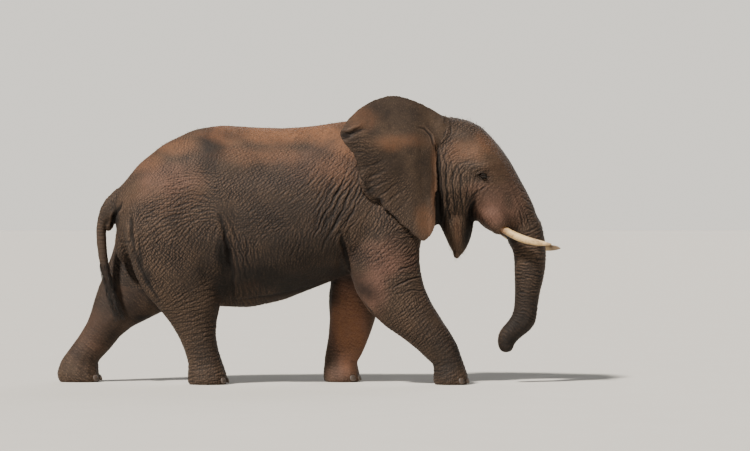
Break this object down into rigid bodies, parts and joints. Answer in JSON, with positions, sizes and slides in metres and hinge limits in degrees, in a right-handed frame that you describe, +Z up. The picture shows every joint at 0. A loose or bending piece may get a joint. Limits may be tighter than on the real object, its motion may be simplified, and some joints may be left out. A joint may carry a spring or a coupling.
{
  "type": "african elephant",
  "caption": "Life-size still model of a walking African bush elephant with big ears, short tusks, a hanging curled trunk and a tufted tail.",
  "frame": {"origin": "on the ground, under the middle of the whole animal", "axes": "+X forwards, the way the animal walks; +Y to the animal's left; +Z up"},
  "size_m": [5.2534, 1.3784, 2.9676],
  "materials": {
    "skin": "dry, deeply wrinkled hide, dusted with red-brown soil",
    "hair": "stiff black-brown wiry hair",
    "eye": "wet, dark amber-brown",
    "ivory": "worn cream ivory, stained brown at the root and tip",
    "nail": "dull, dusty horn"
  },
  "bodies": {
    "root": {"torso_chest": "skin", "torso_barrel": "skin", "torso_rump": "skin", "neck": "skin", "head": "skin", "jaw": "skin", "trunk_upper": "skin", "trunk_middle": "skin", "trunk_tip": "skin", "ear_right": "skin", "ear_left": "skin", "tail_root": "skin", "tail_middle": "skin", "leg_fore_right_upper": "skin", "leg_fore_right_lower": "skin", "foot_fore_right": "skin", "leg_fore_left_upper": "skin", "leg_fore_left_lower": "skin", "foot_fore_left": "skin", "leg_hind_right_upper": "skin", "leg_hind_right_lower": "skin", "foot_hind_right": "skin", "leg_hind_left_upper": "skin", "leg_hind_left_lower": "skin", "foot_hind_left": "skin", "tail_tuft": "hair", "eye_right": "eye", "eye_left": "eye", "tusk_right": "ivory", "tusk_left": "ivory", "nail_fore_right_1": "nail", "nail_fore_right_2": "nail", "nail_fore_right_3": "nail", "nail_fore_right_4": "nail", "nail_fore_left_1": "nail", "nail_fore_left_2": "nail", "nail_fore_left_3": "nail", "nail_fore_left_4": "nail", "nail_hind_right_1": "nail", "nail_hind_right_2": "nail", "nail_hind_right_3": "nail", "nail_hind_left_1": "nail", "nail_hind_left_2": "nail", "nail_hind_left_3": "nail"}
  },
  "joints": []
}
